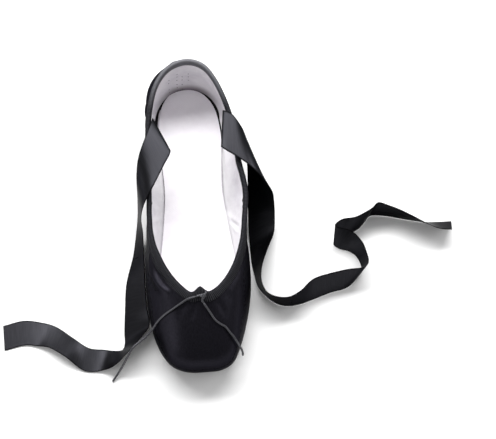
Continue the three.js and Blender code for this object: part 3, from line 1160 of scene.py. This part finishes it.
@dataclass
class Upper:
    """The satin upper with its lining: the wall, its topline tape, its seams and creases."""

    axis_z: float = 22.0
    axis_reach: float = 95.0
    subdivisions: int = 2
    # Where the wall is drawn to one side: a place, how far it moves, and how wide the pull is. The first
    # three lie at the throat, where the knot pulls; the others are at the heel, the waist and the toe.
    pulls: tuple[tuple[Row, Row, float], ...] = (
        ((-1.1, -72.5, 51.0), (0.0, 5.2, 2.5), 2.9),
        ((-9.8, -70.4, 50.7), (0.0, -0.5, -0.5), 2.3),
        ((6.4, -71.6, 50.6), (0.0, 0.6, 0.3), 2.8),
        ((27.0, 101.0, 46.0), (-2.6, -0.4, 0.0), 11.0),
        ((36.0, 10.0, 43.0), (2.6, 0.0, 0.0), 8.0),
        ((-36.0, 12.0, 43.0), (1.4, 0.0, 0.0), 9.0),
        ((-38.0, -32.0, 22.0), (-1.1, 0.0, 0.0), 9.0),
        ((-29.0, -104.0, 13.0), (-3.0, -0.6, 0.0), 12.0),
        ((-38.0, -70.0, 20.0), (-1.6, 0.0, 0.0), 11.0),
        ((32.0, -92.0, 14.0), (-2.0, 0.0, 0.0), 12.0),
    )
    # A pull fades more slowly along the shoe and up it than across it
    pull_weights: Row = (1.0, 0.35, 0.35)
    topline: tuple[Row, ...] = (
        (0, -73.5, 50), (5.2, -72.7, 49.9), (10.4, -69.2, 49.5), (16.3, -63.2, 48.6), (22.8, -54, 47.4),
        (28.8, -41.8, 46), (33.4, -26, 44.4), (35.6, -5, 43.2), (35.2, 22, 42.7), (33.7, 50, 43.4),
        (30.9, 76, 45.4), (24.6, 99, 48.4), (14.2, 111.6, 51.2), (0, 115.8, 52.8),
    )
    both_sides: tuple[Crease, ...] = (
        # Raised side seam, from the topline down to the sole
        Crease(((35.6, 22, 41), (36, 22.5, 32), (35.8, 24, 22), (34.6, 25.5, 13), (31, 26, 8)), 0.7, 1.6),
        # Soft wrinkles at the waist, where the shoe bends
        Crease(((36.5, -16, 33), (37.4, -4, 27), (36.6, 8, 20), (34.8, 15, 13)), -1.3, 2.4),
        Crease(((36.8, -12, 38), (37.2, 0, 33), (36.8, 12, 27), (35.8, 19, 20)), 0.9, 2.4),
        Crease(((35.4, 46, 36), (35.9, 38, 28), (35.3, 31, 20), (33.6, 27, 12)), -1.2, 2.6),
        Crease(((34.9, 58, 34), (35.4, 50, 26), (34.6, 42, 18), (32.6, 36, 12)), 0.8, 2.6),
        Crease(((36.8, -30, 26), (37.4, -20, 20), (36, -10, 13), (33, -4, 9)), -0.9, 2.8),
        # The satin drawn in above the sole at the ball
        Crease(((37, -60, 8), (37.6, -48, 8), (37, -36, 8.5), (35.6, -26, 9)), -0.8, 2.2),
    )
    one_side: tuple[Crease, ...] = (
        # Loose fold under the tape on the left of the throat
        Crease(((-34.8, -34, 35.5), (-34.2, -46, 35), (-31.3, -55.1, 38.1), (-27.6, -62.2, 41.4),
                (-22.5, -68.5, 44.4)), 2.0, 2.2),
        Crease(((-32.6, -36, 41.5), (-31.4, -47, 40.6), (-28.9, -55.5, 42.3), (-25, -61.8, 44.2),
                (-19.5, -67.5, 46.2)), -1.7, 1.7),
        Crease(((-37, -36, 28), (-36.6, -50, 28.5), (-32.6, -62, 33.6), (-27.4, -70.5, 38.4)), -1.1, 3.6),
        # A slacker one on the right
        Crease(((31.4, -43, 42), (27.2, -53.5, 44.3), (22, -61.4, 46), (16.4, -67.2, 47.2)), -0.9, 1.8),
        Crease(((33.6, -44, 38), (29.8, -55, 40.7), (24.4, -64.6, 43), (18, -72, 44.6)), 0.8, 2.8),
        # Small gathers below the knot
        Crease(((-4.5, -78.5, 48.8), (-6.5, -84, 47.2), (-8, -90, 45.3)), -0.6, 1.4),
        Crease(((3.8, -78.8, 48.8), (5.6, -84, 47.2), (7.8, -91, 44.8)), -0.5, 1.4),
        Crease(((-11, -76, 47.6), (-14.2, -81, 45.4), (-17, -87, 42.6)), -0.5, 1.6),
        Crease(((10.6, -76.4, 47.6), (13.6, -82, 45), (16, -88, 42.4)), -0.5, 1.6),
        # Gathers at the back of the heel, under the tape
        Crease(((0, 117.4, 45), (0, 118.6, 38), (0, 119, 30)), -0.5, 1.5),
        Crease(((8, 115.8, 44), (8.4, 117, 37), (8.6, 117.4, 30)), -0.45, 1.5),
        Crease(((-7.6, 115.9, 44.2), (-8.2, 117, 37), (-8.4, 117.4, 29)), -0.5, 1.6),
        Crease(((-15.6, 112.4, 42.4), (-16.4, 113.6, 35.4), (-16.8, 114, 28)), -0.5, 1.7),
        Crease(((15.8, 112.2, 42.4), (16.6, 113.4, 35.4), (17, 113.8, 28)), -0.4, 1.7),
        # Satin that stands out below the tape on the left of the heel and in puffs behind it
        Crease(((-34.4, 62, 36), (-32.4, 76, 38), (-30, 86, 39.2)), 1.6, 3.0, Face.OUTSIDE, False),
        Crease(((-32.6, 76, 37.6), (-29.6, 90, 39.4), (-25, 101, 40.8), (-19, 109.4, 41.8),
                (-12, 114.4, 42.4), (-2, 117.4, 42.6)), 4.2, 3.0, Face.OUTSIDE, False),
        Crease(((-12.6, 113.6, 44.2), (-7, 116.6, 45.2), (-1, 117.6, 45.4)), 2.8, 2.6, Face.OUTSIDE, False),
        Crease(((-4.5, 117.4, 45.2), (1, 118, 45.4), (7, 117, 45.2), (13.5, 114.2, 44.4)), 3.2, 2.8,
               Face.OUTSIDE, False),
        Crease(((8, 116.4, 42), (17, 111, 41), (24, 101, 39.6), (29, 90, 38)), 1.6, 3.0, Face.OUTSIDE, False),
        # Puckers of the lining at the sides
        Crease(((-31.6, 0.6, 16), (-30.1, 1.8, 11.7), (-27.4, 3.7, 9.6), (-24.7, 5.2, 9.1)), -1.0, 0.8,
               Face.LINING),
        Crease(((21.9, 4.2, 11.5), (27.6, 1.3, 9.4), (30.8, -2.2, 11.4), (32.7, -4.3, 15)), -1.2, 0.8,
               Face.LINING),
        Crease(((22, 2.6, 11), (26.6, -2.5, 7.9), (29.6, -7.6, 8.6), (31.6, -12.1, 11)), -0.8, 0.9,
               Face.LINING),
        Crease(((25.6, 1.5, 9), (29.4, -3.4, 10), (31.8, -8.6, 13)), 0.9, 1.7, Face.LINING),
        # The lining's foot, which swells in beside the board on the right of the heel
        Crease(((30, 34, 7), (30, 50, 7), (29, 64, 7), (27, 78, 7), (22, 91, 7), (14, 102, 7)), -2.5, 4.4,
               Face.LINING, False),
    )
    pleat_count: int = 58
    pleat_depth: float = 0.55
    pleat_fullness: float = 0.6
    pleat_middle: float = 0.7
    pleat_centre: float = -78.0
    pleat_heights: Row = (3.0, 5.0, 6.5, 11.5)
    pleat_reach: Row = (-88.0, -70.0)
    stitch_spacing: float = 3.1
    stitch_from_topline: Row = (2.6, 4.6)
    seam_offset: float = 1.5
    seam_spacing: float = 2.4
    # The needle holes at the back of the heel: how high they lie, in columns across it
    hole_columns: tuple[tuple[float, Row], ...] = (
        (-12.4, (27.9, 22.3, 13.2, 9.7)), (-6.6, (32.7, 27.6, 21.2, 15.3, 11.4, 8.1)), (-4.6, (7.8,)),
        (-3.0, (25.8, 19.9, 13.9, 8.6)), (1.3, (30.0, 24.7, 18.7)),
    )
    heel_back: float = 113.4
    heel_curve: float = 0.02

    def outward(self, piece: Piece) -> tuple[Array, Array, Array]:
        """Tell the outside of the wall from its lining.

        Args:
            piece: A piece of the upper.

        Returns:
            Where each corner is, which way is out of the shoe there, and whether it is on the outside.
        """
        places = places_of(piece)
        normals = outward_of(piece)
        axis = np.stack([
            np.zeros(len(places)),
            np.clip(places[:, 1], -self.axis_reach * MM, self.axis_reach * MM),
            np.full(len(places), self.axis_z * MM),
        ], axis=1)
        outside = np.sum(normals * (places - axis), axis=1) > 0
        return places, np.where(outside[:, None], normals, -normals), outside

    def sculpt(self, piece: Piece, is_tape: bool = False) -> None:
        """Press the creases and the pulls into a piece of the upper.

        Args:
            piece: The piece.
            is_tape: Whether it is the tape, which some creases leave alone.
        """
        places, out, outside = self.outward(piece)
        lift = np.zeros(len(places))
        counts = {Face.BOTH: 1.0, Face.OUTSIDE: outside, Face.LINING: ~outside}
        for crease in (*self.both_sides, *(c.other_side() for c in self.both_sides), *self.one_side):
            if crease.bends_tape or not is_tape:
                lift += crease.lift(piece, places) * counts[crease.face]
        moved = places + out * lift[:, None]
        for place, move, width in self.pulls:
            squared = (places - np.array(place) * MM) ** 2 @ np.array(self.pull_weights)
            moved += np.exp(-squared / (2 * (width * MM) ** 2))[:, None] * np.array(move) * MM
        move_to(piece, moved)

    def pleat_toe(self, piece: Piece) -> None:
        """Pleat the satin where it turns in under the toe.

        Args:
            piece: The wall.
        """
        places, out, outside = self.outward(piece)
        x, y, z = (places / MM).T
        angle = np.arctan2(x, self.pleat_centre - y)
        low = np.interp(z, self.pleat_heights, (0, 1, 1, 0))
        front = np.interp(y, self.pleat_reach, (1, 0))
        wave = np.abs(np.sin(angle * self.pleat_count / 2)) ** self.pleat_fullness
        lift = (wave - self.pleat_middle) * self.pleat_depth * MM * low * front * outside
        move_to(piece, places + out * lift[:, None])

    def topline_curve(self) -> Array:
        """Draw the topline all round, from the throat past the right side and the heel and back.

        Returns:
            The places along it, in metres, with the first one again at the end.
        """
        rest = [(-x, y, z) for x, y, z in self.topline[-2:0:-1]]
        curve = drawn_curve([*self.topline, *rest], 24, closed=True)
        return np.vstack([curve, curve[:1]])

    def formed(self, node: str, name: str) -> Piece:
        """Make a smoother copy of a node, with the creases and pulls in it.

        Args:
            node: The CAD node's name.
            name: The new piece's name.

        Returns:
            The new piece.
        """
        piece = copy_of_node(node, name)
        apply_modifier(piece, "SUBSURF", levels=self.subdivisions, render_levels=self.subdivisions)
        self.sculpt(piece, is_tape=node == "binding")
        return piece

    def build_shell(self) -> Piece:
        """Make the wall: satin outside, cotton inside.

        Returns:
            The wall.
        """
        shell = self.formed("upper", "upper_shell")
        self.pleat_toe(shell)
        outside = self.outward(shell)[2]
        for face in shell.data.polygons:
            face.material_index = 0 if sum(outside[v] for v in face.vertices) * 2 >= len(face.vertices) else 1
        smooth_shading(shell)
        finish_piece(shell, "satin", SATIN, LINING, node="upper")
        return shell

    def build_tape(self) -> Piece:
        """Make the ribbed tape that binds the topline.

        Returns:
            The tape.
        """
        tape = self.formed("binding", "topline_tape")
        curve = self.topline_curve()
        along = length_along(curve)
        places = places_of(tape)
        nearest = np.array([np.argmin(np.sum((curve[:-1] - p) ** 2, axis=1)) for p in places])
        offset = places - curve[nearest]
        extra = np.sum(offset * unit(curve[nearest + 1] - curve[nearest]), axis=1)
        rib = TAPE.rib_mm * MM
        whole = rib * round(along[-1] / rib)
        u = (along[nearest] + extra) % along[-1] * whole / along[-1]
        write_way(tape, u, np.linalg.norm(offset, axis=1), turn=whole)
        smooth_shading(tape)
        finish_piece(tape, "grosgrain", TAPE, node="binding")
        return tape

    def sew(self, shell: Piece, tape: Piece) -> None:
        """Stitch the tape's lower edge and both side seams.

        Args:
            shell: The wall.
            tape: The topline's tape.
        """
        path = evenly(self.topline_curve(), self.stitch_spacing * MM)[:-1]
        ways = unit(np.roll(path, -1, axis=0) - np.roll(path, 1, axis=0))
        beside, below = self.stitch_from_topline
        guess = path + (unit(np.cross(ways, (0, 0, 1))) * beside - (0, 0, below)) * MM
        places, outs = on_surface(tape, guess)
        stitches = TAPE_STITCH.sew("tape_stitches", places, ways, outs)
        finish_piece(stitches, "grosgrain", BLACK_THREAD)
        rows, row_ways = [], []
        for side in Side:
            for offset in (-self.seam_offset, self.seam_offset):
                # The first stitches of each row lie under the tape and are left out
                seam = [(side.value * abs(x), y + offset, z) for x, y, z in self.both_sides[0].path[:4]]
                line = evenly(drawn_curve(seam, 8), self.seam_spacing * MM)[3:]
                rows.append(line)
                row_ways.append(np.gradient(line, axis=0))
        places, outs = on_surface(shell, np.vstack(rows))
        seams = SEAM_STITCH.sew("side_seam_stitches", places, np.vstack(row_ways), outs)
        finish_piece(seams, "satin", BLACK_THREAD)

    def prick_heel(self, shell: Piece) -> None:
        """Dot the heel's lining with the needle holes of its back stitching.

        Args:
            shell: The wall.
        """
        guesses = [
            (x, self.heel_back - self.heel_curve * x * x, z)
            for x, heights in self.hole_columns
            for z in heights
        ]
        places, outs = on_surface(shell, np.array(guesses) * MM)
        ways = np.tile((1.0, 0.0, 0.0), (len(places), 1))
        dots = NEEDLE_HOLE.sew("heel_needle_holes", places, ways, outs)
        finish_piece(dots, "satin", HOLE_SHADE)

    def build(self) -> None:
        """Build the upper with all that is sewn to it."""
        shell = self.build_shell()
        tape = self.build_tape()
        self.sew(shell, tape)
        self.prick_heel(shell)


# The sole


@dataclass
class Soles:
    """The covered board that the foot stands on, and the leather outsole."""

    edge: float = 0.5 * MM
    heel_run: Row = (55.0, 113.0)
    heel_move: Row = (-1.2, 3.6, 0.0)
    # How far the top edge is drawn in on each side, in millimetres, at places along the shoe
    gap_left: tuple[Row, Row] = ((-60, -30, 40, 58, 75, 95, 112), (0.1, 0.6, 0.7, 1.4, 3.0, 3.2, 1.2))
    gap_right: tuple[Row, Row] = ((-60, -30, 40, 60, 95, 112), (0.1, 0.4, 0.4, 0.1, 0.1, 0.6))
    blend: Row = (-8.0, 8.0)

    def softened(self, node: str, name: str, width: float) -> Piece:
        """Copy a node with its sharp edges rounded.

        Args:
            node: The CAD node's name.
            name: The new piece's name.
            width: How far the rounding reaches, in metres.

        Returns:
            The new piece.
        """
        piece = copy_of_node(node, name)
        apply_modifier(piece, "BEVEL", width=width, segments=2, limit_method="ANGLE",
                       angle_limit=math.radians(35), use_clamp_overlap=True)
        smooth_shading(piece, 40)
        return piece

    def reach_heel(self, board: Piece) -> None:
        """Let the board run up to the wall at the back of the heel, and lie a little to the left there.

        Args:
            board: The covered board.
        """
        places = places_of(board)
        share = np.interp(places[:, 1] / MM, self.heel_run, (0, 1))
        share = share * share * (3 - 2 * share)
        move_to(board, places + share[:, None] * np.array(self.heel_move) * MM)

    def open_gap(self, board: Piece) -> None:
        """Draw the board's top edge in from the lining, most at the left of the heel, where the gap shows.

        Args:
            board: The covered board.
        """
        places = places_of(board)
        out = outward_of(board)
        x, y, _ = (places / MM).T
        on_left = np.interp(x, self.blend, (1, 0))
        gap = on_left * np.interp(y, *self.gap_left) + (1 - on_left) * np.interp(y, *self.gap_right)
        flat = unit(out * (1, 1, 0))
        sideways = np.clip(np.linalg.norm(out[:, :2], axis=1) * 2, 0, 1)
        move_to(board, places - flat * (gap * MM * sideways * (out[:, 2] > 0.1))[:, None])
        # The steep side faces take the near-black board side, partly painted shade of the gap
        for face in board.data.polygons:
            face.material_index = 1 if abs(face.normal.z) < 0.8 else 0

    def build(self) -> None:
        """Make both soles."""
        board = self.softened("insole", "insole_board", self.edge)
        self.reach_heel(board)
        self.open_gap(board)
        smooth_shading(board, 10)
        finish_piece(board, "insole_board", BOARD_COVER, BOARD_SIDE_AND_GAP_SHADE, node="insole")
        leather = self.softened("outsole", "leather_outsole", self.edge * 0.6)
        finish_piece(leather, "sole_leather", SOLE, node="outsole")


def main() -> None:
    """Build the scene in order; each finished piece logs its face count."""
    logging.basicConfig(level=logging.INFO, format="%(name)s %(message)s")
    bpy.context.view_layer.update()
    studio = Studio()
    studio.place_camera()
    studio.light()
    studio.lay_floor()
    Drawstring().build()
    Ribbon(Side.LEFT, RIBBON_LEFT).build()
    Ribbon(Side.RIGHT, RIBBON_RIGHT).build()
    Upper().build()
    Soles().build()


if __name__ == "__main__":
    main()
